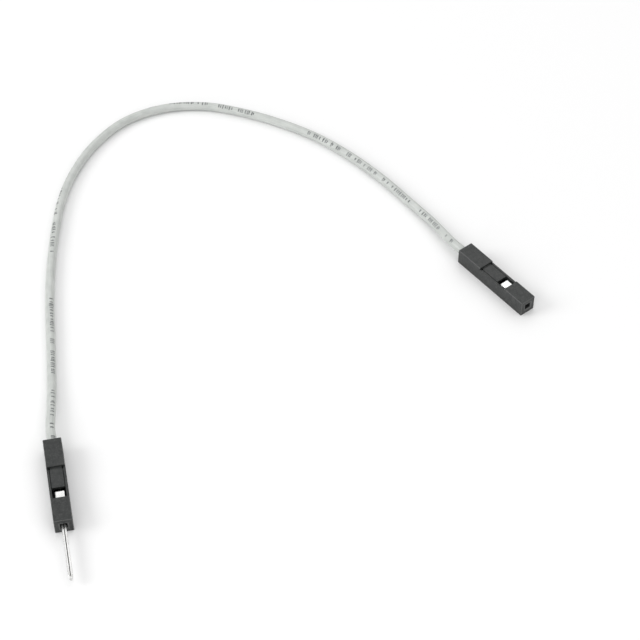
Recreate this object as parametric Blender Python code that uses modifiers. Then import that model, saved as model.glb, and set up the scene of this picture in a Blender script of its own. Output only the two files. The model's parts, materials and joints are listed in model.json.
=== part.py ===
"""Breadboard jumper lead: one wire with a pin connector and a socket connector.

Model frame: metres, +Z up. The lead lies on the plane Z = 0, and the origin is the middle of
the box around the two connectors, on that plane. Each connector is modelled along its own +X,
from the middle of its rear face, where the wire goes in, to its mating face. Its latch face
looks up. The two connectors then stand at the ends of the wire's route.
"""

import math

import bmesh
import bpy
import numpy as np
from mathutils import Matrix, Vector

COLLECTION_NAME = "breadboard_jumper_wire"

# Wire: a stranded conductor, six strands around one, in an extruded tube
STRAND_DIAMETER = 0.00016
STRAND_GAP = 0.000015
BORE_CLEARANCE = 0.00003
INSULATION_WALL = 0.00039
OUTER_STRANDS = 6

# Terminals: stamped sheet, folded around the wire behind and into a box or a pin in front
SHEET = 0.00018
CRIMP_CLEARANCE = 0.00003
CRIMP_START = 0.0010
INSULATION_CRIMP_LENGTH = 0.0022
CRIMP_SPACING = 0.0007
CONDUCTOR_CRIMP_LENGTH = 0.0022
INSULATION_OVERHANG = 0.0002
STRAND_OVERHANG = 0.00015
SEAM_ANGLE = math.radians(14)
CRIMP_SEGMENTS = 17
STRIP_WIDTH = 0.0006
BOX_INSET = 0.000135
BOX_SEAM = 0.00004
PIN_WIDTH = 0.00064
PIN_REACH = 0.0087
PIN_BODY_LENGTH = 0.0026
PIN_NECK_LENGTH = 0.0009
PIN_NOSE_LENGTH = 0.0008
PIN_NOSE_WIDTH = 0.00026
PIN_SEAM_WIDTH = 0.00010
PIN_SEAM_DEPTH = 0.00016
PIN_EDGE_ROUND = 0.00008
LEAF_WIDTH = 0.0007
LEAF_THICKNESS = 0.00014
LEAF_PRESS = 0.00002
LEAF_LENGTH = 0.0032
RIB_LENGTH = 0.0014
RIB_GAP = 0.00003

# Housings: the same moulding at both ends
TERMINAL_CLEARANCE = 0.000065
SIDE_WALL = 0.00032
REAR_BLOCK = 0.0048
TONGUE_LENGTH = 0.0034
TONGUE_WIDTH = 0.0014
TONGUE_ROOT = 0.0008
TONGUE_CLEARANCE = 0.0001
WINDOW_LENGTH = 0.0017
WINDOW_LEDGE = 0.0002
FRONT_BLOCK = 0.0039
FRONT_WALL = 0.0008
RECESS_DEPTH = 0.00030
HOLE_CLEARANCE = 0.000155
HOLE_CHAMFER = 0.00012
LATCH_CLEARANCE = 0.0001
BOX_CLEARANCE = 0.00006
EDGE_ROUND = 0.0001

# Sizes that follow from those above
STRAND_PITCH = STRAND_DIAMETER + STRAND_GAP
BUNDLE_RADIUS = STRAND_PITCH + STRAND_DIAMETER / 2
BORE_RADIUS = BUNDLE_RADIUS + BORE_CLEARANCE
WIRE_RADIUS = BORE_RADIUS + INSULATION_WALL
INSULATION_CRIMP_RADIUS = WIRE_RADIUS + CRIMP_CLEARANCE + SHEET
CONDUCTOR_CRIMP_RADIUS = BUNDLE_RADIUS + CRIMP_CLEARANCE + SHEET
INSULATION_CRIMP_END = CRIMP_START + INSULATION_CRIMP_LENGTH
CONDUCTOR_CRIMP_START = INSULATION_CRIMP_END + CRIMP_SPACING
CONDUCTOR_CRIMP_END = CONDUCTOR_CRIMP_START + CONDUCTOR_CRIMP_LENGTH
INSULATION_END = INSULATION_CRIMP_END + INSULATION_OVERHANG
STRAND_END = CONDUCTOR_CRIMP_END + STRAND_OVERHANG
CAVITY_HALF = INSULATION_CRIMP_RADIUS + TERMINAL_CLEARANCE
HOUSING_HALF = CAVITY_HALF + SIDE_WALL
RECESS_FLOOR = HOUSING_HALF - RECESS_DEPTH
TONGUE_END = REAR_BLOCK + TONGUE_LENGTH
WINDOW_END = TONGUE_END + WINDOW_LENGTH
RECESS_END = WINDOW_END + WINDOW_LEDGE
HOUSING_LENGTH = RECESS_END + FRONT_BLOCK
CHAMBER_END = HOUSING_LENGTH - FRONT_WALL
TONGUE_UNDERSIDE = CONDUCTOR_CRIMP_RADIUS + TONGUE_CLEARANCE
BOX_HALF = INSULATION_CRIMP_RADIUS - BOX_INSET
CHAMBER_HALF = BOX_HALF + BOX_CLEARANCE
HOLE_HALF = PIN_WIDTH / 2 + HOLE_CLEARANCE
BOX_REAR = TONGUE_END + LATCH_CLEARANCE
SOCKET_FRONT = CHAMBER_END - LATCH_CLEARANCE
PIN_BODY_FRONT = BOX_REAR + PIN_BODY_LENGTH
PIN_ROOT = PIN_BODY_FRONT + PIN_NECK_LENGTH
PIN_TIP = HOUSING_LENGTH + PIN_REACH

# The wire's route, from the pin housing's rear face to the socket housing's rear face. The
# first two points and the last two give the connectors' directions.
FLOOR_GAP = 0.000025
LYING = WIRE_RADIUS + FLOOR_GAP
RISING = (LYING + HOUSING_HALF) / 2
ROUTE = [
    (-0.0334, -0.0076, HOUSING_HALF),
    (-0.0340, -0.0047, HOUSING_HALF),
    (-0.0344, 0.0004, RISING),
    (-0.0350, 0.0061, LYING),
    (-0.0358, 0.0129, LYING),
    (-0.0366, 0.0197, LYING),
    (-0.0371, 0.0265, LYING),
    (-0.0372, 0.0334, LYING),
    (-0.0369, 0.0403, LYING),
    (-0.0356, 0.0469, LYING),
    (-0.0329, 0.0534, LYING),
    (-0.0285, 0.0590, LYING),
    (-0.0225, 0.0622, LYING),
    (-0.0156, 0.0628, LYING),
    (-0.0089, 0.0611, LYING),
    (-0.0026, 0.0584, LYING),
    (0.0031, 0.0550, LYING),
    (0.0084, 0.0505, LYING),
    (0.0131, 0.0455, LYING),
    (0.0172, 0.0403, LYING),
    (0.0204, 0.0358, RISING),
    (0.0231, 0.0314, HOUSING_HALF),
    (0.0250, 0.0290, HOUSING_HALF),
]
ROUTE_SPANS = 52
CURVE_STEPS = 16

# Outlines are drawn at this many times their size and shrunk as meshes, because a filled curve
# merges points that lie closer than 0.03 mm.
DRAWING_SCALE = 1000
# How far a cutter passes the face that it cuts, and a joined piece runs into its neighbour
OVERRUN = 0.0005
JOIN_DEPTH = 0.00012
# Keeps the faces of the strip away from the faces of what it joins
JOIN_INSET = 0.00002
WELD_DISTANCE = 0.0000001
SHARP_ANGLE = math.radians(35)

# Colour, roughness and metallic value
BLACK_PLASTIC = ("black_plastic", (0.035, 0.036, 0.038), 0.55, 0.0)
TINNED_METAL = ("tinned_metal", (0.78, 0.78, 0.76), 0.28, 1.0)
GREY_PVC = ("grey_insulation", (0.60, 0.62, 0.60), 0.42, 0.0)
TINNED_COPPER = ("tinned_copper", (0.72, 0.70, 0.66), 0.35, 1.0)


def clear_scene():
    for item in list(bpy.data.objects):
        bpy.data.objects.remove(item, do_unlink=True)


def make_collection(name):
    collection = bpy.data.collections.new(name)
    bpy.context.scene.collection.children.link(collection)
    return collection


def make_material(name, colour, roughness, metallic):
    material = bpy.data.materials.new(name)
    material.use_nodes = True
    shader = material.node_tree.nodes["Principled BSDF"]
    shader.inputs["Base Color"].default_value = (*colour, 1.0)
    shader.inputs["Roughness"].default_value = roughness
    shader.inputs["Metallic"].default_value = metallic
    return material


def make_object(name, data):
    item = bpy.data.objects.new(name, data)
    bpy.context.scene.collection.objects.link(item)
    return item


def evaluated_mesh(item):
    """The object's mesh with its modifiers applied and loose caps welded."""
    bpy.context.view_layer.update()
    graph = bpy.context.evaluated_depsgraph_get()
    mesh = bpy.data.meshes.new_from_object(item.evaluated_get(graph))
    work = bmesh.new()
    work.from_mesh(mesh)
    bmesh.ops.remove_doubles(work, verts=work.verts, dist=WELD_DISTANCE)
    work.to_mesh(mesh)
    work.free()
    return mesh


def box(name, low, high):
    """A box between two corners."""
    size = [top - bottom for top, bottom in zip(high, low)]
    middle = [(top + bottom) / 2 for top, bottom in zip(high, low)]
    mesh = bpy.data.meshes.new(name)
    work = bmesh.new()
    bmesh.ops.create_cube(work, size=1.0)
    bmesh.ops.scale(work, vec=size, verts=work.verts)
    bmesh.ops.translate(work, vec=middle, verts=work.verts)
    work.to_mesh(mesh)
    work.free()
    return make_object(name, mesh)


def square_taper(name, start, start_half, end, end_half):
    """A four-sided frustum along X, between two square sections around the axis."""
    mesh = bpy.data.meshes.new(name)
    work = bmesh.new()
    bmesh.ops.create_cone(
        work,
        cap_ends=True,
        segments=4,
        radius1=start_half * math.sqrt(2),
        radius2=end_half * math.sqrt(2),
        depth=end - start,
    )
    turn = Matrix.Rotation(math.radians(45), 4, "Z")
    lay_down = Matrix.Rotation(math.radians(90), 4, "Y")
    move = Matrix.Translation(((start + end) / 2, 0, 0))
    bmesh.ops.transform(work, matrix=move @ lay_down @ turn, verts=work.verts)
    work.to_mesh(mesh)
    work.free()
    return make_object(name, mesh)


def drawn_solid(name, outline, thickness, placing):
    """A flat outline with a thickness, moved from the drawing plane by a matrix."""
    curve = bpy.data.curves.new(name, "CURVE")
    curve.dimensions = "2D"
    curve.fill_mode = "BOTH"
    curve.extrude = thickness * DRAWING_SCALE / 2
    spline = curve.splines.new("POLY")
    spline.points.add(len(outline) - 1)
    for point, (across, up) in zip(spline.points, outline):
        point.co = (across * DRAWING_SCALE, up * DRAWING_SCALE, 0, 1)
    spline.use_cyclic_u = True
    drawing = make_object(name + "_drawing", curve)
    mesh = evaluated_mesh(drawing)
    bpy.data.objects.remove(drawing)
    mesh.transform(placing @ Matrix.Scale(1 / DRAWING_SCALE, 4))
    return make_object(name, mesh)


def section_prism(name, outline, start, end):
    """A section drawn in (y, z) and run along X from start to end."""
    axes = Matrix(((0, 0, 1, 0), (1, 0, 0, 0), (0, 1, 0, 0), (0, 0, 0, 1)))
    placing = Matrix.Translation(((start + end) / 2, 0, 0)) @ axes
    return drawn_solid(name, outline, end - start, placing)


def side_prism(name, outline, width):
    """A side view drawn in (x, z), with a width across Y."""
    return drawn_solid(name, outline, width, Matrix.Rotation(math.radians(90), 4, "X"))


def boolean(base, tool, operation):
    modifier = base.modifiers.new(operation.lower() + "_" + tool.name, "BOOLEAN")
    modifier.operation = operation
    modifier.solver = "EXACT"
    modifier.object = tool


def combined_mesh(name, base, cutters=(), additions=()):
    """The base without its cutters and joined with its additions, as one mesh."""
    for tool in cutters:
        boolean(base, tool, "DIFFERENCE")
    for tool in additions:
        boolean(base, tool, "UNION")
    mesh = evaluated_mesh(base)
    mesh.name = name
    mesh.shade_smooth()
    mesh.set_sharp_from_angle(angle=SHARP_ANGLE)
    for item in (base, *cutters, *additions):
        bpy.data.objects.remove(item)
    return mesh


def rounded(item, width):
    modifier = item.modifiers.new("edge_round", "BEVEL")
    modifier.width = width
    modifier.segments = 2
    modifier.limit_method = "ANGLE"
    return item


def housing_mesh():
    blank = box(
        "housing_blank",
        (0, -HOUSING_HALF, -HOUSING_HALF),
        (HOUSING_LENGTH, HOUSING_HALF, HOUSING_HALF),
    )
    rounded(blank, EDGE_ROUND)
    above = HOUSING_HALF + OVERRUN
    cavity_side = [
        (-OVERRUN, -CAVITY_HALF),
        (WINDOW_END, -CAVITY_HALF),
        (WINDOW_END, above),
        (REAR_BLOCK, above),
        (REAR_BLOCK, CAVITY_HALF),
        (-OVERRUN, CAVITY_HALF),
    ]
    cavity = side_prism("cavity", cavity_side, 2 * CAVITY_HALF)
    recess = box(
        "recess",
        (REAR_BLOCK, -above, RECESS_FLOOR),
        (RECESS_END, above, above),
    )
    chamber = box(
        "chamber",
        (WINDOW_END - OVERRUN, -CHAMBER_HALF, -CHAMBER_HALF),
        (CHAMBER_END, CHAMBER_HALF, CHAMBER_HALF),
    )
    hole = box(
        "hole",
        (CHAMBER_END - OVERRUN, -HOLE_HALF, -HOLE_HALF),
        (HOUSING_LENGTH + OVERRUN, HOLE_HALF, HOLE_HALF),
    )
    chamfer = square_taper(
        "hole_chamfer",
        HOUSING_LENGTH - HOLE_CHAMFER,
        HOLE_HALF,
        HOUSING_LENGTH + HOLE_CHAMFER,
        HOLE_HALF + 2 * HOLE_CHAMFER,
    )
    root_top = (CAVITY_HALF + HOUSING_HALF) / 2
    tongue_side = [
        (REAR_BLOCK - TONGUE_ROOT, root_top),
        (REAR_BLOCK - JOIN_DEPTH, root_top),
        (REAR_BLOCK - JOIN_DEPTH, RECESS_FLOOR),
        (TONGUE_END, RECESS_FLOOR),
        (TONGUE_END, TONGUE_UNDERSIDE),
        (REAR_BLOCK, TONGUE_UNDERSIDE),
        (REAR_BLOCK - TONGUE_ROOT, CAVITY_HALF - JOIN_INSET),
    ]
    tongue = side_prism("tongue", tongue_side, TONGUE_WIDTH)
    cutters = (cavity, recess, chamber, hole, chamfer)
    return combined_mesh("housing", blank, cutters, [tongue])


def crimp_section(radius):
    """A barrel's section: sheet bent around the axis, open at a seam on top."""
    spread = 2 * math.pi - SEAM_ANGLE
    angles = [
        -math.pi / 2 - spread / 2 + spread * step / CRIMP_SEGMENTS
        for step in range(CRIMP_SEGMENTS + 1)
    ]
    outside = [(radius * math.cos(a), radius * math.sin(a)) for a in angles]
    inner = radius - SHEET
    inside = [(inner * math.cos(a), inner * math.sin(a)) for a in reversed(angles)]
    return outside + inside


def box_section():
    """The box's section: four walls, with a seam under the roof on one side."""
    outer = BOX_HALF
    inner = BOX_HALF - SHEET
    return [
        (outer, inner - BOX_SEAM),
        (outer, -outer),
        (-outer, -outer),
        (-outer, outer),
        (outer, outer),
        (outer, inner),
        (-inner, inner),
        (-inner, -inner),
        (inner, -inner),
        (inner, inner - BOX_SEAM),
    ]


def crimp_pieces():
    """The part of a terminal that both kinds share: two barrels and the strip between them."""
    insulation_crimp = section_prism(
        "insulation_crimp",
        crimp_section(INSULATION_CRIMP_RADIUS),
        CRIMP_START,
        INSULATION_CRIMP_END,
    )
    conductor_crimp = section_prism(
        "conductor_crimp",
        crimp_section(CONDUCTOR_CRIMP_RADIUS),
        CONDUCTOR_CRIMP_START,
        CONDUCTOR_CRIMP_END,
    )
    flat = math.cos((2 * math.pi - SEAM_ANGLE) / CRIMP_SEGMENTS / 2)
    underside = [
        (INSULATION_CRIMP_END - JOIN_DEPTH, -INSULATION_CRIMP_RADIUS * flat),
        (INSULATION_CRIMP_END + JOIN_DEPTH, -INSULATION_CRIMP_RADIUS * flat),
        (CONDUCTOR_CRIMP_START - JOIN_DEPTH, -CONDUCTOR_CRIMP_RADIUS * flat),
        (CONDUCTOR_CRIMP_END + JOIN_DEPTH, -CONDUCTOR_CRIMP_RADIUS * flat),
        (BOX_REAR - JOIN_DEPTH, -BOX_HALF),
        (BOX_REAR + JOIN_DEPTH, -BOX_HALF),
    ]
    lower = [(x, z + JOIN_INSET) for x, z in underside]
    upper = [(x, z + SHEET - JOIN_INSET) for x, z in reversed(underside)]
    strip = side_prism("strip", lower + upper, STRIP_WIDTH)
    return [insulation_crimp, conductor_crimp, strip]


def socket_terminal_mesh():
    contact_box = section_prism("contact_box", box_section(), BOX_REAR, SOCKET_FRONT)
    ceiling = BOX_HALF - SHEET
    leaf_root = SOCKET_FRONT - JOIN_DEPTH
    leaf_middle = leaf_root - LEAF_LENGTH / 2
    leaf_free = leaf_root - LEAF_LENGTH
    contact_height = PIN_WIDTH / 2 - LEAF_PRESS
    leaf_line = [
        (leaf_root, ceiling - LEAF_THICKNESS + JOIN_INSET),
        (leaf_root - LEAF_THICKNESS, ceiling - LEAF_THICKNESS + JOIN_INSET),
        (leaf_middle + LEAF_THICKNESS, contact_height),
        (leaf_middle - LEAF_THICKNESS, contact_height),
        (leaf_free, (contact_height + ceiling - LEAF_THICKNESS) / 2),
    ]
    leaf_side = leaf_line + [(x, z + LEAF_THICKNESS) for x, z in reversed(leaf_line)]
    leaf = side_prism("leaf", leaf_side, LEAF_WIDTH)
    floor = -BOX_HALF + SHEET
    rib_top = -PIN_WIDTH / 2 - RIB_GAP
    rib_rise = rib_top - floor
    rib_side = [
        (leaf_middle - RIB_LENGTH / 2 - rib_rise, floor - JOIN_INSET),
        (leaf_middle + RIB_LENGTH / 2 + rib_rise, floor - JOIN_INSET),
        (leaf_middle + RIB_LENGTH / 2, rib_top),
        (leaf_middle - RIB_LENGTH / 2, rib_top),
    ]
    rib = side_prism("rib", rib_side, LEAF_WIDTH)
    additions = crimp_pieces() + [leaf, rib]
    return combined_mesh("socket_terminal", contact_box, additions=additions)


def pin_section():
    """The pin's section: sheet folded to a square bar, with a groove where the edges meet."""
    half = PIN_WIDTH / 2
    flat = half - PIN_EDGE_ROUND
    groove = PIN_SEAM_WIDTH / 2
    return [
        (-groove, half),
        (-flat, half),
        (-half, flat),
        (-half, -flat),
        (-flat, -half),
        (flat, -half),
        (half, -flat),
        (half, flat),
        (flat, half),
        (groove, half),
        (0, half - PIN_SEAM_DEPTH),
    ]


def pin_terminal_mesh():
    body = section_prism("pin_body", box_section(), BOX_REAR, PIN_BODY_FRONT)
    inset = JOIN_INSET
    neck = square_taper(
        "neck",
        PIN_BODY_FRONT - JOIN_DEPTH,
        BOX_HALF - inset,
        PIN_ROOT,
        PIN_WIDTH / 2 + inset,
    )
    nose_start = PIN_TIP - PIN_NOSE_LENGTH
    pin = section_prism("pin", pin_section(), PIN_ROOT - JOIN_DEPTH, nose_start)
    nose = square_taper(
        "nose",
        nose_start - JOIN_DEPTH,
        PIN_WIDTH / 2 - inset,
        PIN_TIP,
        PIN_NOSE_WIDTH / 2,
    )
    additions = [neck, pin, nose] + crimp_pieces()
    return combined_mesh("pin_terminal", body, additions=additions)


def smooth_route():
    """Points at even distances on a smooth curve through the route's own points."""
    points = [Vector(point) for point in ROUTE]
    guides = [2 * points[0] - points[1], *points, 2 * points[-1] - points[-2]]
    fine = []
    for before, start, end, after in zip(guides, guides[1:], guides[2:], guides[3:]):
        for step in range(CURVE_STEPS):
            t = step / CURVE_STEPS
            fine.append(
                0.5
                * (
                    2 * start
                    + (end - before) * t
                    + (2 * before - 5 * start + 4 * end - after) * t**2
                    + (3 * start - before - 3 * end + after) * t**3
                )
            )
    fine.append(points[-1])
    steps = [(b - a).length for a, b in zip(fine, fine[1:])]
    distance = np.concatenate([[0], np.cumsum(steps)])
    even = np.linspace(0, distance[-1], ROUTE_SPANS + 1)
    columns = [np.interp(even, distance, [p[axis] for p in fine]) for axis in range(3)]
    return [Vector(point) for point in zip(*columns)]


def wire_path(reach):
    """The route with a straight run at both ends, this far into each housing."""
    route = smooth_route()
    first = Vector(ROUTE[0]) + connector_direction(ROUTE[1], ROUTE[0]) * reach
    last = Vector(ROUTE[-1]) + connector_direction(ROUTE[-2], ROUTE[-1]) * reach
    return [first, *route, last]


def connector_direction(before, exit_point):
    return (Vector(exit_point) - Vector(before)).normalized()


def shifted_path(path, aside, up):
    """The path moved aside and up, square to its own run."""
    result = []
    for index, point in enumerate(path):
        before = path[max(index - 1, 0)]
        after = path[min(index + 1, len(path) - 1)]
        run = (after - before).normalized()
        side = run.cross(Vector((0, 0, 1))).normalized()
        result.append(point + side * aside + side.cross(run) * up)
    return result


def tube(name, path, radius, capped):
    curve = bpy.data.curves.new(name, "CURVE")
    curve.dimensions = "3D"
    curve.bevel_depth = radius
    curve.bevel_resolution = 2
    curve.use_fill_caps = capped
    spline = curve.splines.new("POLY")
    spline.points.add(len(path) - 1)
    for point, place in zip(spline.points, path):
        point.co = (*place, 1)
    return make_object(name, curve)


def make_insulation():
    item = tube("wire_insulation", wire_path(INSULATION_END), WIRE_RADIUS, capped=False)
    sides = 4 + 2 * item.data.bevel_resolution
    wall = item.modifiers.new("wall", "SOLIDIFY")
    wall.thickness = WIRE_RADIUS * math.cos(math.pi / sides) - BORE_RADIUS
    wall.offset = -1
    wall.use_even_offset = True
    return item


def make_strands():
    path = wire_path(STRAND_END)
    places = [(0, 0)]
    for index in range(OUTER_STRANDS):
        angle = 2 * math.pi * index / OUTER_STRANDS
        places.append((STRAND_PITCH * math.cos(angle), STRAND_PITCH * math.sin(angle)))
    return [
        tube(f"strand_{number}", shifted_path(path, *place), STRAND_DIAMETER / 2, capped=True)
        for number, place in enumerate(places, start=1)
    ]


def connector_frame(name, before, exit_point):
    """An empty at the rear face's middle, turned so that +X looks out of the mating face."""
    frame = make_object(name, None)
    direction = connector_direction(before, exit_point)
    frame.location = exit_point
    frame.rotation_euler = (0, 0, math.atan2(direction.y, direction.x))
    return frame


def place(name, mesh, frame):
    item = make_object(name, mesh)
    item.parent = frame
    return item


def finish(items, collection, look):
    material = make_material(*look)
    for item in items:
        item.data.materials.clear()
        item.data.materials.append(material)
        bpy.context.scene.collection.objects.unlink(item)
        collection.objects.link(item)


def main():
    clear_scene()
    parts = make_collection(COLLECTION_NAME)
    pin_end = connector_frame("pin_connector", ROUTE[1], ROUTE[0])
    socket_end = connector_frame("socket_connector", ROUTE[-2], ROUTE[-1])
    housing = housing_mesh()
    housings = [
        place("male_housing", housing, pin_end),
        place("female_housing", housing, socket_end),
    ]
    terminals = [
        place("pin_terminal", pin_terminal_mesh(), pin_end),
        place("socket_terminal", socket_terminal_mesh(), socket_end),
    ]
    finish(housings, parts, BLACK_PLASTIC)
    finish(terminals, parts, TINNED_METAL)
    finish([make_insulation()], parts, GREY_PVC)
    finish(make_strands(), parts, TINNED_COPPER)


main()
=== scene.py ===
"""Looks of the breadboard jumper lead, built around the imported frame.

The frame and the wire's route are in metres. Each connector is drawn in millimetres along its
own +X, from the middle of its rear face to its mating face, with its latch face up, and is then
placed at its end of the route. Every piece lies in the space of the part that it replaces.
"""

import json
import math

import bmesh
import bpy
import numpy as np
from mathutils import Matrix, Vector

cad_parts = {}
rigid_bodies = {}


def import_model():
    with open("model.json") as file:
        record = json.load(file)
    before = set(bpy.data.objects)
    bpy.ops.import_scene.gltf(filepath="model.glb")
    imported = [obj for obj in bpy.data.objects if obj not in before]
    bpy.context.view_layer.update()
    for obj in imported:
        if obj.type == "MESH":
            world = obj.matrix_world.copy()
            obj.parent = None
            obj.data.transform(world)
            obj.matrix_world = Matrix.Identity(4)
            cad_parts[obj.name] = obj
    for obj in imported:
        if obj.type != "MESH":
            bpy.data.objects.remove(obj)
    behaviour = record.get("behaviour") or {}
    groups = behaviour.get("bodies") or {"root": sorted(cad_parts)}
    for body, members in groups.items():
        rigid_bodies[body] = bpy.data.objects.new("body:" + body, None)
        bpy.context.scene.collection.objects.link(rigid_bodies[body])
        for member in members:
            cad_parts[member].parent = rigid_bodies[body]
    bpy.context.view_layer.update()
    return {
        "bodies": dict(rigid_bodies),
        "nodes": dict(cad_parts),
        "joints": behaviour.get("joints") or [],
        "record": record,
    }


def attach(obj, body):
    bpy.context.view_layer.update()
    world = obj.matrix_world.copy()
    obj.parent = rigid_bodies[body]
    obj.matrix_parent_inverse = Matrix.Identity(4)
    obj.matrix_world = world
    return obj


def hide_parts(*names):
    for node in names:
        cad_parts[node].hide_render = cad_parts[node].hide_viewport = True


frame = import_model()

MM = 0.001
MM_IN_METRE = 1000.0

# Camera: the photograph's place, direction and lens
CAMERA_PLACE = (0.00323, -0.16001, 0.19597)
CAMERA_PITCH = math.radians(48)
CAMERA_LENS = 101.25
CAMERA_SENSOR = 36.0
CAMERA_NEAR = 0.01

# Studio, in metres and watts. Each light: its name, place, size and power
FLOOR_HALF = 3.0
FLOOR_CELLS = 8
LIGHTS = (
    ("main_light", (-0.58, -0.06, 0.34), 0.36, 1.6),
    ("back_light", (0.10, 0.60, 0.60), 0.60, 0.7),
    ("front_light", (-0.30, -0.60, 0.15), 0.30, 0.7),
    ("right_light", (0.40, -0.35, 0.30), 0.40, 0.45),
)
LIGHTS_AIM = (0, 0.02, 0)
# The surround's glow grows over this range of height, and the camera sees at least the wall's glow
GLOW_HEIGHT = (0.12, 0.50)
GLOW = (0.10, 0.90)
WALL_GLOW = 0.8

# Housing, in millimetres
HALF = 1.27
LENGTH = 14.0
REAR_BLOCK = 4.8
RECESS_FLOOR = 0.97
RECESS_END = 10.1
CAVITY_HALF = 0.95
TONGUE_END = 8.2
TONGUE_HALF = 0.88
TONGUE_UNDERSIDE = 0.565
TONGUE_ROOT = 4.0
NOTCH_INNER = 0.78
NOTCH_OUTER = 1.04
NOTCH_LENGTH = 0.26
WINDOW_END = 9.9
CHAMBER_HALF = 0.81
CHAMBER_END = 13.2
HOLE_HALF = 0.475
HOLE_CHAMFER = 0.12
REAR_CHAMFER = 0.14
OUTER_ROUND = 0.10
INNER_ROUND = 0.03
MOULDED_STEPS = 3

# Terminals, in millimetres
SHEET = 0.18
BARREL_START = 1.0
BARREL_END = 3.2
BARREL_RADIUS = 0.885
GRIP_START = 3.9
GRIP_END = 6.1
GRIP_RADIUS = 0.465
SEAM_HALF_ANGLE = math.radians(7)
STRIP_HALF = 0.30
STRIP_SHEET = 0.12
BOX_HALF = 0.69
BOX_REAR = 8.7
BOX_FOLD = 0.22
BOX_SEAM = 0.04
SOCKET_FRONT = 13.1
STAMPED_ROUND = 0.02
STAMPED_STEPS = 2

# Pin, in millimetres. ROOT_GROOVE is a share of the groove's full depth, NOSE_CURVE a power,
# NOSE_FLAT a share of the tip's width, and the last three are shares of the nose's length
PIN_BODY_FRONT = 10.9
PIN_ROOT = 11.8
PIN_HALF = 0.32
PIN_TIP = 22.7
PIN_NOSE = 0.8
PIN_TIP_HALF = 0.13
PIN_ROUND = 0.09
GROOVE_HALF = 0.045
GROOVE_DEPTH = 0.16
GROOVE_LIP = 0.02
ROOT_GROOVE = 0.3
NOSE_CURVE = 1.5
NOSE_FLAT = 0.7
NOSE_SHOULDER = 0.97
GROOVE_RUN_OUT = 0.8
SEAM_SHADE_END = 0.7

# Contact leaf and rib in the socket, in millimetres. The leaf's bow and rise are shares of its
# length and height, and the rib's curve is a power
LEAF_HALF = 0.35
LEAF_SHEET = 0.14
LEAF_LENGTH = 3.2
LEAF_CONTACT = 0.30
LEAF_BOW = 0.32
LEAF_RISE = 0.8
RIB_TOP = -0.35
RIB_LENGTH = 1.4
RIB_HALF = 0.28
RIB_CURVE = 4

# Mesh making, in millimetres: cutters pass a face by OVERRUN, the parts of one stamping run into
# each other by JOIN and stay within each other's faces by INSET. Faces within LEVEL_ANGLE of each
# other are merged, edges within FLAT_ANGLE aren't rounded, and edges over a sharp angle stay sharp
OVERRUN = 0.5
JOIN = 0.12
INSET = 0.02
ON_FACE = 0.0001
MERGE_REACH = 0.0005
WELD_REACH = 0.0002
BARREL_POINTS = 41
FOLD_STEPS = 6
LEAF_POINTS = 13
RIB_POINTS = 15
PIN_ROUND_STEPS = 4
PIN_STEPS = 7
PIN_FIRST_STEP = 0.15
FACE_WEIGHT = 90
LEVEL_ANGLE = math.radians(0.5)
FLAT_ANGLE = math.radians(1)
SHARP_ANGLE = math.radians(50)
STRAND_SHARP_ANGLE = math.radians(60)

# Wire, in metres
HOUSING_HALF_M = HALF * MM
WIRE_RADIUS_M = 0.000675
BORE_RADIUS_M = 0.000285
FLOOR_GAP_M = 0.000025
LYING = WIRE_RADIUS_M + FLOOR_GAP_M
RISING = (LYING + HOUSING_HALF_M) / 2
WIRE_LENGTH_M = 0.144
INSULATION_REACH_M = 0.0034
CUT_ROUND_M = 0.00004
ROUTE = [
    (-0.0334, -0.0076, HOUSING_HALF_M),
    (-0.0340, -0.0047, HOUSING_HALF_M),
    (-0.0344, 0.0004, RISING),
    (-0.0350, 0.0061, LYING),
    (-0.0358, 0.0129, LYING),
    (-0.0366, 0.0197, LYING),
    (-0.0371, 0.0265, LYING),
    (-0.0372, 0.0334, LYING),
    (-0.0369, 0.0403, LYING),
    (-0.0356, 0.0469, LYING),
    (-0.0329, 0.0534, LYING),
    (-0.0285, 0.0590, LYING),
    (-0.0225, 0.0622, LYING),
    (-0.0156, 0.0628, LYING),
    (-0.0089, 0.0611, LYING),
    (-0.0026, 0.0584, LYING),
    (0.0031, 0.0550, LYING),
    (0.0084, 0.0505, LYING),
    (0.0131, 0.0455, LYING),
    (0.0172, 0.0403, LYING),
    (0.0204, 0.0358, RISING),
    (0.0231, 0.0314, HOUSING_HALF_M),
    (0.0250, 0.0290, HOUSING_HALF_M),
]
CURVE_STEPS = 24
TUBE_SPANS = 360
TUBE_SIDES = 32
BORE_STEP = 4

# Strands, in metres
STRAND_RADIUS_M = 0.00008
STRAND_PITCH_M = 0.000175
STRAND_REACH_M = 0.00625
OUTER_STRANDS = 6
STRAND_TURNS = 16
STRAND_SPANS = 320
STRAND_SIDES = 8

# Marks: groups of cells along the wire, the last cell of each group blank, and up to three bars
# in each other cell. The pitch, the heights and the skin's depth are in millimetres, the blanks
# are chances, and the jitter and the softness are shares of the pitch
MARK_PITCH = 1.15
MARK_GROUP = 7
MARK_BLANKS = 0.05
GROUP_BLANKS = 0.12
MARK_HALF_HEIGHT = (0.22, 0.38)
MARK_JITTER = 0.10
MARK_SOFTNESS = 0.035
MARK_ENDS = (0.9, 1.1)
MARK_GROUP_END = 1 - 1.5 / MARK_GROUP
SKIN_DEPTH = 0.01
# Each bar: its middle and half width in the pitch, the random number that decides whether it is
# there and the least that this must be, and the random number that gives its height
MARK_BARS = (
    (0.16, 0.100, 0, 0.12, 1),
    (0.45, 0.080, 1, 0.35, 2),
    (0.72, 0.100, 2, 0.30, 0),
)
# Where the row of marks lies around the wire, in degrees from its right side towards its top,
# by distance in millimetres from the pin housing
MARK_TURN = (
    (0, 66),
    (25, 62),
    (36, 84),
    (46, 128),
    (57, 172),
    (68, 165),
    (78, 115),
    (86, 70),
    (95, 58),
    (140, 62),
)

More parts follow.
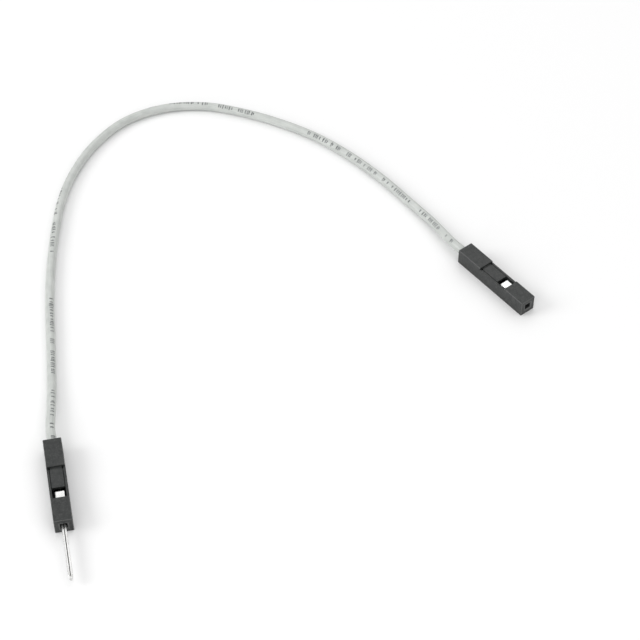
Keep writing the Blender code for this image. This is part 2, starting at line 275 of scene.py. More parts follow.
# Colours
PLASTIC_DARK = (0.010, 0.012, 0.012)
PLASTIC_PALE = (0.027, 0.029, 0.028)
PLASTIC_SPECK = (0.075, 0.078, 0.075)
# The next colour is partly edge wear and partly a painted highlight along the housings' edges
PLASTIC_RUBBED_AND_HIGHLIT = (0.105, 0.107, 0.106)
TIN_DULL = (0.72, 0.72, 0.71)
TIN_BRIGHT = (0.84, 0.84, 0.83)
# The next colour is painted shade for the pin's seam groove
TIN_SEAM_PAINTED_SHADE = (0.16, 0.155, 0.15)
COPPER_TINNED = (0.76, 0.74, 0.71)
COPPER_BARE = (0.78, 0.56, 0.42)
GREY_DARK = (0.465, 0.487, 0.467)
GREY_PALE = (0.575, 0.595, 0.572)
INK = (0.055, 0.06, 0.065)
FLOOR_DARK = (0.90, 0.90, 0.90)
FLOOR_PALE = (0.92, 0.92, 0.92)

# Surfaces. A noise's scale is in swells to a millimetre before any stretch, a range is the part of
# the noise that takes effect, and a relief is the bump's strength and its depth in metres. The
# streaks lie on a circle of radius 1 around the wire and the stretched distance along it
NOISE_DETAIL = 3.0
NOISE_RANGE = (0.3, 0.7)

PLASTIC_GRAIN = 14.0
PLASTIC_GRAIN_DETAIL = 4.0
PLASTIC_CLOUDS = 1.6
PLASTIC_CLOUDS_DETAIL = 2.0
PLASTIC_SPECKS = 5.0
SPECK_RANGE = (0.52, 0.72)
SPECK_STRENGTH = (0.0, 0.45)
POLISH_RANGE = (0.35, 0.6)
POLISH = (0.3, 1.0)
RUBBED_GLOSS = 0.12
PLASTIC_ROUGHNESS = (0.38, 0.56)
PLASTIC_RELIEF = (0.35, 0.00002)

TIN_LINES = 9.0
TIN_LINES_STRETCH = (0.12, 2.2, 2.2)
TIN_CLOUDS = 1.3
TIN_CLOUD_RANGE = (0.35, 0.65)
TIN_ROUGHNESS = (0.20, 0.34)
TIN_RELIEF = (0.12, 0.00001)

COPPER_PATCHES = 4.0
COPPER_RANGE = (0.52, 0.72)
COPPER_ROUGHNESS = (0.28, 0.42)

GREY_CLOUDS = 0.7
GREY_GRAIN = 9.0
GREY_STREAKS = 5.0
STREAK_STRETCH = 0.05
MOTTLE_RANGE = (0.75, 1.25)
GREY_ROUGHNESS = (0.34, 0.48)
GREY_RELIEF = (0.2, 0.00001)
INK_WEAR = 5.0
INK_WEAR_DETAIL = 2.0
INK_WEAR_RANGE = (0.38, 0.60)
INK_WORN = (0.5, 1.0)
INK_FADE = 0.12
INK_FADE_DETAIL = 1.0
INK_FADE_RANGE = (0.4, 0.6)
INK_FADED = (0.8, 1.0)

# The floor's clouds are in swells to a metre
FLOOR_CLOUDS = 6.0
FLOOR_CLOUDS_DETAIL = 2.0
FLOOR_ROUGHNESS = 0.9
FLOOR_GLOSS = 0.1


def make_object(name, data):
    item = bpy.data.objects.new(name, data)
    bpy.context.scene.collection.objects.link(item)
    return item


def evaluated_mesh(item):
    bpy.context.view_layer.update()
    graph = bpy.context.evaluated_depsgraph_get()
    return bpy.data.meshes.new_from_object(item.evaluated_get(graph))


def face_outwards(mesh):
    work = bmesh.new()
    work.from_mesh(mesh)
    bmesh.ops.recalc_face_normals(work, faces=work.faces)
    work.to_mesh(mesh)
    work.free()


def loft(name, rings):
    """A closed skin over rings of points, each ring with the same number of points."""
    count = len(rings[0])
    points = [point for ring in rings for point in ring]
    faces = []
    for row in range(len(rings) - 1):
        for index in range(count):
            after = (index + 1) % count
            low, high = row * count, (row + 1) * count
            faces.append((low + index, low + after, high + after, high + index))
    faces.append(tuple(range(count))[::-1])
    faces.append(tuple((len(rings) - 1) * count + index for index in range(count)))
    mesh = bpy.data.meshes.new(name)
    mesh.from_pydata(points, [], faces)
    face_outwards(mesh)
    return make_object(name, mesh)


def box(name, low, high):
    """A box between two corners."""
    mesh = bpy.data.meshes.new(name)
    work = bmesh.new()
    bmesh.ops.create_cube(work, size=1.0)
    bmesh.ops.scale(work, vec=[b - a for a, b in zip(low, high)], verts=work.verts)
    bmesh.ops.translate(work, vec=[(a + b) / 2 for a, b in zip(low, high)], verts=work.verts)
    work.to_mesh(mesh)
    work.free()
    return make_object(name, mesh)


def square_ring(x, half):
    return [(x, half, half), (x, -half, half), (x, -half, -half), (x, half, -half)]


def combine(base, cutters=(), additions=()):
    """Cuts and joins the solids, and leaves one object that holds the result."""
    for operation, tools in (("DIFFERENCE", cutters), ("UNION", additions)):
        for tool in tools:
            modifier = base.modifiers.new(tool.name, "BOOLEAN")
            modifier.operation = operation
            modifier.solver = "EXACT"
            modifier.object = tool
    mesh = evaluated_mesh(base)
    name = base.name
    for item in (base, *cutters, *additions):
        bpy.data.objects.remove(item)
    work = bmesh.new()
    work.from_mesh(mesh)
    bmesh.ops.remove_doubles(work, verts=work.verts, dist=MERGE_REACH)
    bmesh.ops.dissolve_limit(work, angle_limit=LEVEL_ANGLE, verts=work.verts, edges=work.edges)
    work.to_mesh(mesh)
    work.free()
    return make_object(name, mesh)


def side_solid(name, outline, half):
    """A side view in (x, z) as a solid, half this wide to each side of the axis."""
    return loft(name, [[(x, y, z) for x, z in outline] for y in (-half, half)])


def on_outer_faces(point):
    """For each of the block's six outer faces, whether the point lies on it."""
    x, y, z = point
    return [
        x < ON_FACE,
        x > LENGTH - ON_FACE,
        y < ON_FACE - HALF,
        y > HALF - ON_FACE,
        z < ON_FACE - HALF,
        z > HALF - ON_FACE,
    ]


def weigh_edges(mesh):
    """Full edge rounds on the block's own outer edges, small ones on others, none on flat joins."""
    work = bmesh.new()
    work.from_mesh(mesh)
    layer = work.edges.layers.float.new("bevel_weight_edge")
    for edge in work.edges:
        first, second = (on_outer_faces(vertex.co) for vertex in edge.verts)
        shared = sum(a and b for a, b in zip(first, second))
        if edge.calc_face_angle() < FLAT_ANGLE:
            edge[layer] = 0.0
        else:
            edge[layer] = 1.0 if shared >= 2 else INNER_ROUND / OUTER_ROUND
    work.to_mesh(mesh)
    work.free()


def round_edges(item, limit, width, segments):
    edges = item.modifiers.new("edges", "BEVEL")
    edges.limit_method = limit
    edges.angle_limit = SHARP_ANGLE
    edges.width = width
    edges.segments = segments
    edges.use_clamp_overlap = False
    return item


def finish_faces(item):
    """Shading that leaves flat faces flat, and no faces of more than four sides."""
    item.data.shade_smooth()
    item.data.set_sharp_from_angle(angle=SHARP_ANGLE)
    item.modifiers.new("weld", "WELD").merge_threshold = WELD_REACH
    shading = item.modifiers.new("shading", "WEIGHTED_NORMAL")
    shading.weight = FACE_WEIGHT
    shading.keep_sharp = True
    triangles = item.modifiers.new("triangles", "TRIANGULATE")
    triangles.min_vertices = 5
    triangles.keep_custom_normals = True
    return item


def slit_cutters(above):
    """The slits beside the latch tongue, each with a small notch at its rear end."""
    cutters = []
    for side in (-1, 1):
        for part, end, inner, outer, floor in (
            ("slit", TONGUE_END + JOIN, TONGUE_HALF, CAVITY_HALF, 0),
            ("notch", REAR_BLOCK + NOTCH_LENGTH, NOTCH_INNER, NOTCH_OUTER, TONGUE_UNDERSIDE - JOIN),
        ):
            low, high = sorted((side * inner, side * outer))
            cutters.append(box(f"{part}_{side}", (REAR_BLOCK, low, floor), (end, high, above)))
    return cutters


def housing(name):
    """The block, less its cavity, window, slits, latch recess, contact chamber and front hole."""
    blank = box(name, (0, -HALF, -HALF), (LENGTH, HALF, HALF))
    above = HALF + OVERRUN
    cavity = side_solid(
        "cavity",
        [
            (-OVERRUN, -CAVITY_HALF),
            (WINDOW_END, -CAVITY_HALF),
            (WINDOW_END, above),
            (TONGUE_END, above),
            (TONGUE_END, TONGUE_UNDERSIDE),
            (REAR_BLOCK, TONGUE_UNDERSIDE),
            (TONGUE_ROOT, CAVITY_HALF),
            (-OVERRUN, CAVITY_HALF),
        ],
        CAVITY_HALF,
    )
    recess = box("recess", (REAR_BLOCK, -above, RECESS_FLOOR), (RECESS_END, above, above))
    chamber = box(
        "chamber",
        (WINDOW_END - OVERRUN, -CHAMBER_HALF, -CHAMBER_HALF),
        (CHAMBER_END, CHAMBER_HALF, CHAMBER_HALF),
    )
    hole = box(
        "hole",
        (CHAMBER_END - OVERRUN, -HOLE_HALF, -HOLE_HALF),
        (LENGTH + OVERRUN, HOLE_HALF, HOLE_HALF),
    )
    lead_in = loft(
        "lead_in",
        [
            square_ring(LENGTH - HOLE_CHAMFER, HOLE_HALF),
            square_ring(LENGTH + HOLE_CHAMFER, HOLE_HALF + 2 * HOLE_CHAMFER),
        ],
    )
    wire_entry = loft(
        "wire_entry",
        [
            square_ring(-REAR_CHAMFER, CAVITY_HALF + 2 * REAR_CHAMFER),
            square_ring(REAR_CHAMFER, CAVITY_HALF),
        ],
    )
    slits = slit_cutters(above)
    item = combine(blank, (cavity, *slits, recess, chamber, hole, lead_in, wire_entry))
    weigh_edges(item.data)
    return finish_faces(round_edges(item, "WEIGHT", OUTER_ROUND, MOULDED_STEPS))


def sheet_ring(x, line):
    """The section of a sheet whose middle follows a line in (y, z)."""
    run = np.gradient(line, axis=0)
    run /= np.linalg.norm(run, axis=1)[:, None]
    across = np.stack([-run[:, 1], run[:, 0]], axis=1) * SHEET / 2
    around = np.concatenate([line + across, (line - across)[::-1]])
    return [(x, y, z) for y, z in around]


def barrel_line(radius):
    """The middle of a barrel's sheet, open by a narrow seam on top."""
    spread = math.pi - SEAM_HALF_ANGLE
    angles = -math.pi / 2 + np.linspace(spread, -spread, BARREL_POINTS)
    return np.stack([radius * np.cos(angles), radius * np.sin(angles)], axis=1)


def corner(centre, radius, start, end, steps=FOLD_STEPS):
    """Points along an arc between two directions in degrees."""
    angles = np.radians(np.linspace(start, end, steps + 1))
    return [(centre[0] + radius * math.cos(a), centre[1] + radius * math.sin(a)) for a in angles]


def box_line():
    """The middle of the folded box's sheet: right wall, floor, left wall and roof."""
    middle = BOX_HALF - SHEET / 2
    inner = middle - BOX_FOLD
    points = [(middle, BOX_HALF - SHEET - BOX_SEAM)]
    points += corner((inner, -inner), BOX_FOLD, 0, -90)
    points += corner((-inner, -inner), BOX_FOLD, -90, -180)
    points += corner((-inner, inner), BOX_FOLD, 180, 90)
    points.append((BOX_HALF, middle))
    return np.array(points)


def barrel(name, start, end, radius):
    """A crimped barrel: a sheet curled into a tube with a seam on top."""
    line = barrel_line(radius - SHEET / 2)
    return loft(name, [sheet_ring(x, line) for x in (start, end)])


def crimps():
    """The rear part that both terminals share: two barrels and the strip that carries them."""
    wire_barrel = barrel("wire_barrel", BARREL_START, BARREL_END, BARREL_RADIUS)
    grip = barrel("grip", GRIP_START, GRIP_END, GRIP_RADIUS)
    underside = [
        (BARREL_END - JOIN, INSET - BARREL_RADIUS),
        (BARREL_END + JOIN, INSET - BARREL_RADIUS),
        (GRIP_START - JOIN, INSET - GRIP_RADIUS),
        (GRIP_END + JOIN, INSET - GRIP_RADIUS),
        (BOX_REAR - JOIN, -BOX_HALF),
        (BOX_REAR + JOIN, -BOX_HALF),
    ]
    upper = [(x, z + STRIP_SHEET) for x, z in reversed(underside)]
    strip = side_solid("strip", underside + upper, STRIP_HALF)
    return [wire_barrel, grip, strip]


def stamping(parts):
    """The parts of one stamping, each with its own rounded edges, joined into one solid."""
    first, *others = [round_edges(part, "ANGLE", STAMPED_ROUND, STAMPED_STEPS) for part in parts]
    return finish_faces(combine(first, additions=others))


def contact_leaf(root, middle):
    """The spring tongue that hangs from the box's roof and bows down to where the pin passes."""
    high = BOX_HALF - SHEET - LEAF_SHEET + INSET
    drop = high - LEAF_CONTACT
    line = [(root, high), (root - LEAF_SHEET, high)]
    for t in np.linspace(-1, 1, LEAF_POINTS):
        line.append((middle - t * LEAF_LENGTH * LEAF_BOW, LEAF_CONTACT + drop * LEAF_RISE * t * t))
    line.append((root - LEAF_LENGTH, (LEAF_CONTACT + high) / 2 + INSET))
    upper = [(x, z + LEAF_SHEET) for x, z in reversed(line)]
    return side_solid("leaf", line + upper, LEAF_HALF)


def contact_rib(middle):
    """The rib pressed up from the box's floor, opposite the leaf."""
    low = SHEET - BOX_HALF - INSET
    rise = RIB_TOP - low
    reach = RIB_LENGTH / 2 + rise - INSET
    swell = np.linspace(-1, 1, RIB_POINTS)
    outline = [(middle + t * reach, low + rise * (1 - abs(t) ** RIB_CURVE)) for t in swell]
    return side_solid("rib", outline, RIB_HALF)


def socket_contact(name):
    line = box_line()
    contact_box = loft(name, [sheet_ring(x, line) for x in (BOX_REAR, SOCKET_FRONT)])
    root = SOCKET_FRONT - JOIN
    middle = root - LEAF_LENGTH / 2
    return stamping([contact_box, contact_leaf(root, middle), contact_rib(middle), *crimps()])


def pin_ring(x, half, groove):
    """A folded square bar's section, with a groove on top where the sheet's edges meet."""
    rounding = PIN_ROUND * half / PIN_HALF
    flat = half - rounding
    side = GROOVE_HALF * half / PIN_HALF
    lip = GROOVE_LIP * half / PIN_HALF
    lip_drop = lip * groove
    depth = GROOVE_DEPTH * groove
    points = [(side + lip, half)]
    points += corner((flat, flat), rounding, 90, 0, PIN_ROUND_STEPS)
    points += corner((flat, -flat), rounding, 0, -90, PIN_ROUND_STEPS)
    points += corner((-flat, -flat), rounding, -90, -180, PIN_ROUND_STEPS)
    points += corner((-flat, flat), rounding, 180, 90, PIN_ROUND_STEPS)
    points += [(-side - lip, half), (-side, half - lip_drop)]
    points += [(0, half - depth), (side, half - lip_drop)]
    return [(x, y, z) for y, z in points]


def pin_stations():
    """Along the pin: the place, the half width and the groove's share of its full depth."""
    root_half = BOX_HALF - 2 * INSET
    nose_start = PIN_TIP - PIN_NOSE
    steps = np.linspace(PIN_FIRST_STEP, 1, PIN_STEPS)
    stations = [
        (PIN_BODY_FRONT - JOIN, root_half, ROOT_GROOVE),
        (PIN_BODY_FRONT, root_half, ROOT_GROOVE),
    ]
    for t in steps:
        ease = t * t * (3 - 2 * t)
        x = PIN_BODY_FRONT + (PIN_ROOT - PIN_BODY_FRONT) * t
        half = root_half + (PIN_HALF - root_half) * ease
        stations.append((x, half, ROOT_GROOVE + (1 - ROOT_GROOVE) * ease))
    stations.append((nose_start, PIN_HALF, 1))
    for t in steps:
        x = nose_start + PIN_NOSE * NOSE_SHOULDER * t
        half = PIN_HALF - (PIN_HALF - PIN_TIP_HALF) * t**NOSE_CURVE
        stations.append((x, half, max(0, 1 - t / GROOVE_RUN_OUT)))
    stations.append((PIN_TIP, PIN_TIP_HALF * NOSE_FLAT, 0))
    return stations


def pin_contact(name):
    line = box_line()
    body = loft(name, [sheet_ring(x, line) for x in (BOX_REAR, PIN_BODY_FRONT)])
    pin = loft("pin", [pin_ring(*station) for station in pin_stations()])
    return stamping([body, pin, *crimps()])


def smooth_route(spans):
    """Points at even distances on a smooth curve through the route's own points."""
    points = [Vector(point) for point in ROUTE]
    guides = [2 * points[0] - points[1], *points, 2 * points[-1] - points[-2]]
    fine = []
    for before, start, end, after in zip(guides, guides[1:], guides[2:], guides[3:]):
        for step in range(CURVE_STEPS):
            t = step / CURVE_STEPS
            fine.append(
                0.5
                * (
                    2 * start
                    + (end - before) * t
                    + (2 * before - 5 * start + 4 * end - after) * t**2
                    + (3 * start - before - 3 * end + after) * t**3
                )
            )
    fine.append(points[-1])
    steps = [(b - a).length for a, b in zip(fine, fine[1:])]
    distance = np.concatenate([[0], np.cumsum(steps)])
    even = np.linspace(0, distance[-1], spans + 1)
    columns = [np.interp(even, distance, [p[axis] for p in fine]) for axis in range(3)]
    return [Vector(point) for point in zip(*columns)]


def wire_path(reach, spans):
    """The route with a straight run at both ends, this far into each housing."""
    route = smooth_route(spans)
    ends = []
    for exit_point, before in ((ROUTE[0], ROUTE[1]), (ROUTE[-1], ROUTE[-2])):
        run = (Vector(exit_point) - Vector(before)).normalized()
        count = max(1, round(spans * reach / WIRE_LENGTH_M))
        ends.append([Vector(exit_point) + run * reach * step / count for step in range(count, 0, -1)])
    return [*ends[0], *route, *reversed(ends[1])]


def wire_frames(path):
    """For each point of a path: the point, its sideways and upward directions, and the distance."""
    frames = []
    distance = 0.0
    for index, point in enumerate(path):
        before = path[max(index - 1, 0)]
        after = path[min(index + 1, len(path) - 1)]
        run = (after - before).normalized()
        side = run.cross(Vector((0, 0, 1))).normalized()
        if index:
            distance += (point - path[index - 1]).length
        frames.append((point, side, side.cross(run), distance))
    return frames


def tube_rings(frames):
    """The tube's rings: out along its skin, with rounded cuts at both ends, and back in its bore."""
    trimmed = WIRE_RADIUS_M - CUT_ROUND_M
    first_point, first_side, first_up, _ = frames[0]
    last_point, last_side, last_up, total = frames[-1]
    run_in = (frames[1][0] - first_point).normalized() * CUT_ROUND_M
    run_out = (last_point - frames[-2][0]).normalized() * CUT_ROUND_M
    last_distance = total - CUT_ROUND_M
    skin = [(*frame, WIRE_RADIUS_M) for frame in frames[1:-1]]
    bore = [(*frame, BORE_RADIUS_M) for frame in frames[::-BORE_STEP]]
    return [
        (*frames[0], trimmed),
        (first_point + run_in, first_side, first_up, CUT_ROUND_M, WIRE_RADIUS_M),
        *skin,
        (last_point - run_out, last_side, last_up, last_distance, WIRE_RADIUS_M),
        (*frames[-1], trimmed),
        *bore,
    ]


def map_tube(mesh, rings):
    """Stores the distance along the wire and the way around from the marks, in millimetres."""
    along = mesh.attributes.new("along", "FLOAT", "POINT")
    around = mesh.attributes.new("around", "FLOAT_VECTOR", "POINT")
    places, turns = zip(*MARK_TURN)
    index = 0
    for _, _, _, distance, radius in rings:
        beyond = (distance - INSULATION_REACH_M) / MM
        turn = math.radians(float(np.interp(beyond, places, turns)))
        for step in range(TUBE_SIDES):
            angle = 2 * math.pi * step / TUBE_SIDES - turn
            along.data[index].value = distance / MM
            around.data[index].vector = (math.cos(angle), math.sin(angle), radius / MM)
            index += 1


def insulation(name):
    """The hollow tube, and the path that it follows."""
    path = wire_path(INSULATION_REACH_M, TUBE_SPANS)
    rings = tube_rings(wire_frames(path))
    points = []
    for point, side, up, _, radius in rings:
        for step in range(TUBE_SIDES):
            angle = 2 * math.pi * step / TUBE_SIDES
            points.append(point + side * radius * math.cos(angle) + up * radius * math.sin(angle))
    faces = []
    for row in range(len(rings)):
        low, high = row * TUBE_SIDES, (row + 1) % len(rings) * TUBE_SIDES
        for step in range(TUBE_SIDES):
            after = (step + 1) % TUBE_SIDES
            faces.append((low + step, low + after, high + after, high + step))
    mesh = bpy.data.meshes.new(name)
    mesh.from_pydata(points, [], faces)
    map_tube(mesh, rings)
    mesh.shade_smooth()
    mesh.set_sharp_from_angle(angle=SHARP_ANGLE)
    face_outwards(mesh)
    return make_object(name, mesh), path


def strand(name, start_angle, reach):
    """One fine wire. The outer ones turn around the middle one, a whole number of times."""
    frames = wire_frames(wire_path(STRAND_REACH_M, STRAND_SPANS))
    total = frames[-1][3]
    middle = []
    for point, side, up, distance in frames:
        angle = start_angle + 2 * math.pi * STRAND_TURNS * distance / total
        middle.append(point + side * reach * math.cos(angle) + up * reach * math.sin(angle))
    rings = []
    for point, side, up, _ in wire_frames(middle):
        ring = []
        for step in range(STRAND_SIDES):
            angle = 2 * math.pi * step / STRAND_SIDES
            ring.append(point + (side * math.cos(angle) + up * math.sin(angle)) * STRAND_RADIUS_M)
        rings.append(ring)
    item = loft(name, rings)
    item.data.shade_smooth()
    item.data.set_sharp_from_angle(angle=STRAND_SHARP_ANGLE)
    return item


def connector_place(exit_point, before):
    """The matrix that carries a connector's drawing to its end of the route."""
    run = Vector(exit_point) - Vector(before)
    heading = math.atan2(run.y, run.x)
    return Matrix.Translation(exit_point) @ Matrix.Rotation(heading, 4, "Z") @ Matrix.Scale(MM, 4)


def placed(item, matrix):
    """The finished drawing as a mesh in the frame, which remembers each point's drawn place."""
    mesh = evaluated_mesh(item)
    name = item.name
    bpy.data.objects.remove(item)
    mesh.name = name
    drawn = mesh.attributes.new("drawn_place", "FLOAT_VECTOR", "POINT")
    for vertex, value in zip(mesh.vertices, drawn.data):
        value.vector = vertex.co
    mesh.transform(matrix)
    return make_object(name, mesh)


def new_material(name):
    material = bpy.data.materials.new(name)
    material.use_nodes = True
    return material, material.node_tree, material.node_tree.nodes["Principled BSDF"]


def add_node(tree, kind, **inputs):
    node = tree.nodes.new(kind)
    for key, value in inputs.items():
        node.inputs[key.replace("_", " ")].default_value = value
    return node


def attribute(tree, name):
    node = tree.nodes.new("ShaderNodeAttribute")
    node.attribute_name = name
    return node


def math_node(tree, operation, first, second=None):
    """One calculation with one or two values, each a number or another node's output."""
    node = tree.nodes.new("ShaderNodeMath")
    node.operation = operation
    for index, value in enumerate((first, second)):
        if isinstance(value, (int, float)):
            node.inputs[index].default_value = value
        elif value is not None:
            tree.links.new(value, node.inputs[index])
    return node.outputs[0]


def components(tree, vector):
    """The X, Y and Z of a vector."""
    node = tree.nodes.new("ShaderNodeSeparateXYZ")
    tree.links.new(vector, node.inputs["Vector"])
    return node.outputs["X"], node.outputs["Y"], node.outputs["Z"]


def place_in_mm(tree):
    """The object's own coordinates, in millimetres."""
    coordinates = tree.nodes.new("ShaderNodeTexCoord")
    mapping = add_node(tree, "ShaderNodeMapping", Scale=(MM_IN_METRE,) * 3)
    tree.links.new(coordinates.outputs["Object"], mapping.inputs["Vector"])
    return mapping.outputs["Vector"]


def noise(tree, place, scale, detail=NOISE_DETAIL, stretch=None):
    """Soft noise over a place, with this many swells to one unit of the place."""
    if stretch is not None:
        mapping = add_node(tree, "ShaderNodeMapping", Scale=stretch)
        tree.links.new(place, mapping.inputs["Vector"])
        place = mapping.outputs["Vector"]
    node = add_node(tree, "ShaderNodeTexNoise", Scale=scale, Detail=detail)
    tree.links.new(place, node.inputs["Vector"])
    return node.outputs["Fac"]


def colour_mix(tree, factor, first, second):
    """From the first to the second, each a colour or another node's output."""
    node = tree.nodes.new("ShaderNodeMix")
    node.data_type = "RGBA"
    for socket, value in ((node.inputs[6], first), (node.inputs[7], second)):
        if isinstance(value, tuple):
            socket.default_value = (*value, 1.0)
        else:
            tree.links.new(value, socket)
    tree.links.new(factor, node.inputs[0])
    return node.outputs[2]


def spread_range(tree, value, low, high, new_low=0.0, new_high=1.0):
    """Carries one range over to another, and holds the value within it."""
    node = tree.nodes.new("ShaderNodeMapRange")
    node.inputs["From Min"].default_value = low
    node.inputs["From Max"].default_value = high
    node.inputs["To Min"].default_value = new_low
    node.inputs["To Max"].default_value = new_high
    tree.links.new(value, node.inputs["Value"])
    return node.outputs["Result"]


def bump(tree, shader, height, strength, distance):
    node = add_node(tree, "ShaderNodeBump", Strength=strength, Distance=distance)
    tree.links.new(height, node.inputs["Height"])
    tree.links.new(node.outputs["Normal"], shader.inputs["Normal"])


def worn_and_highlit_edges(tree, place):
    """One along the block's outer edges and the hole's rim, which handling polishes and where a paler
    colour is painted as a highlight, else nought.
    """
    x, y, z = components(tree, place)
    from_middle = math_node(tree, "SUBTRACT", x, LENGTH / 2)
    sizes = [math_node(tree, "ABSOLUTE", value) for value in (from_middle, y, z)]
    near = [
        spread_range(tree, size, half - OUTER_ROUND, half - OUTER_ROUND / 2)
        for size, half in zip(sizes, (LENGTH / 2, HALF, HALF))
    ]
    count = math_node(tree, "ADD", math_node(tree, "ADD", near[0], near[1]), near[2])
    edges = spread_range(tree, count, 1.0, 2.0)
    off_axis = math_node(tree, "MAXIMUM", sizes[1], sizes[2])
    off_rim = math_node(tree, "SUBTRACT", off_axis, HOLE_HALF + HOLE_CHAMFER)
    off_rim = math_node(tree, "ABSOLUTE", off_rim)
    rim = spread_range(tree, off_rim, HOLE_CHAMFER / 2, HOLE_CHAMFER, 1.0, 0.0)
    front = math_node(tree, "GREATER_THAN", x, LENGTH - HOLE_CHAMFER)
    return math_node(tree, "MAXIMUM", edges, math_node(tree, "MULTIPLY", rim, front))


def black_plastic():
    """Matte black moulding with the fine grain of an etched mould, pale specks, and edges that are
    worn and painted paler as a highlight.
    """
    material, tree, shader = new_material("black_plastic_look")
    place = attribute(tree, "drawn_place").outputs["Vector"]
    grain = noise(tree, place, PLASTIC_GRAIN, PLASTIC_GRAIN_DETAIL)
    clouds = noise(tree, place, PLASTIC_CLOUDS, PLASTIC_CLOUDS_DETAIL)
    specks = noise(tree, place, PLASTIC_SPECKS)
    tone = colour_mix(tree, spread_range(tree, clouds, *NOISE_RANGE), PLASTIC_DARK, PLASTIC_PALE)
    pale = spread_range(tree, specks, *SPECK_RANGE, *SPECK_STRENGTH)
    tone = colour_mix(tree, pale, tone, PLASTIC_SPECK)
    polish = spread_range(tree, grain, *POLISH_RANGE, *POLISH)
    rubbed_and_highlit = math_node(tree, "MULTIPLY", worn_and_highlit_edges(tree, place), polish)
    # Painted highlight: the worn edges and the hole's rim are coloured paler, as if they caught the
    # light; their lower roughness below is real polish
    tone = colour_mix(tree, rubbed_and_highlit, tone, PLASTIC_RUBBED_AND_HIGHLIT)
    tree.links.new(tone, shader.inputs["Base Color"])
    rough = spread_range(tree, grain, *NOISE_RANGE, *PLASTIC_ROUGHNESS)
    smoother = math_node(tree, "MULTIPLY", rubbed_and_highlit, RUBBED_GLOSS)
    tree.links.new(math_node(tree, "SUBTRACT", rough, smoother), shader.inputs["Roughness"])
    bump(tree, shader, grain, *PLASTIC_RELIEF)
    return material


def groove_painted_shade_mask(tree, place):
    """Painted shade: one down in the pin's seam groove, up to where it runs out at the nose, else
    nought.
    """
    x, y, z = components(tree, place)
    off_axis = math_node(tree, "ABSOLUTE", y)
    mask = math_node(tree, "LESS_THAN", off_axis, GROOVE_HALF + GROOVE_LIP / 2)
    for limit in (
        math_node(tree, "GREATER_THAN", x, PIN_ROOT),
        math_node(tree, "LESS_THAN", x, PIN_TIP - PIN_NOSE * SEAM_SHADE_END),
        math_node(tree, "GREATER_THAN", z, PIN_HALF - GROOVE_DEPTH - GROOVE_LIP),
    ):
        mask = math_node(tree, "MULTIPLY", mask, limit)
    return mask


def bright_tin():
    """Bright tin on stamped strip: rolling lines along the strip, soft handling marks, and painted
    shade down the pin's seam groove.
    """
    material, tree, shader = new_material("bright_tin_look")
    place = attribute(tree, "drawn_place").outputs["Vector"]
    lines = noise(tree, place, TIN_LINES, stretch=TIN_LINES_STRETCH)
    clouds = noise(tree, place, TIN_CLOUDS)
    tone = colour_mix(tree, spread_range(tree, clouds, *TIN_CLOUD_RANGE), TIN_DULL, TIN_BRIGHT)
    # Painted shade: the pin's seam groove is coloured dark, as shade in the fold would make it
    tone = colour_mix(tree, groove_painted_shade_mask(tree, place), tone, TIN_SEAM_PAINTED_SHADE)
    tree.links.new(tone, shader.inputs["Base Color"])
    shader.inputs["Metallic"].default_value = 1.0
    rough = spread_range(tree, lines, *NOISE_RANGE, *TIN_ROUGHNESS)
    tree.links.new(rough, shader.inputs["Roughness"])
    bump(tree, shader, lines, *TIN_RELIEF)
    return material


def tinned_copper():
    """Drawn wire with a thin coat of tin, through which a little copper shows."""
    material, tree, shader = new_material("tinned_copper_look")
    patches = noise(tree, place_in_mm(tree), COPPER_PATCHES)
    tone = colour_mix(tree, spread_range(tree, patches, *COPPER_RANGE), COPPER_TINNED, COPPER_BARE)
    tree.links.new(tone, shader.inputs["Base Color"])
    shader.inputs["Metallic"].default_value = 1.0
    rough = spread_range(tree, patches, *NOISE_RANGE, *COPPER_ROUGHNESS)
    tree.links.new(rough, shader.inputs["Roughness"])
    return material


def mark_bar(tree, inside, across, random, bar):
    """One upright bar in each cell, where its random number allows it."""
    middle, half, wanted, least, tall = bar
    shift = spread_range(tree, random[tall], 0.0, 1.0, -MARK_JITTER / 2, MARK_JITTER / 2)
    centre = math_node(tree, "ADD", shift, middle)
    away = math_node(tree, "ABSOLUTE", math_node(tree, "SUBTRACT", inside, centre))
    drawn = spread_range(tree, away, half - MARK_SOFTNESS, half + MARK_SOFTNESS, 1.0, 0.0)
    height = spread_range(tree, random[tall], 0.0, 1.0, *MARK_HALF_HEIGHT)
    level = math_node(tree, "DIVIDE", across, height)
    short = spread_range(tree, level, *MARK_ENDS, 1.0, 0.0)
    shape = math_node(tree, "MULTIPLY", drawn, short)
    there = math_node(tree, "GREATER_THAN", random[wanted], least)
    return math_node(tree, "MULTIPLY", shape, there)


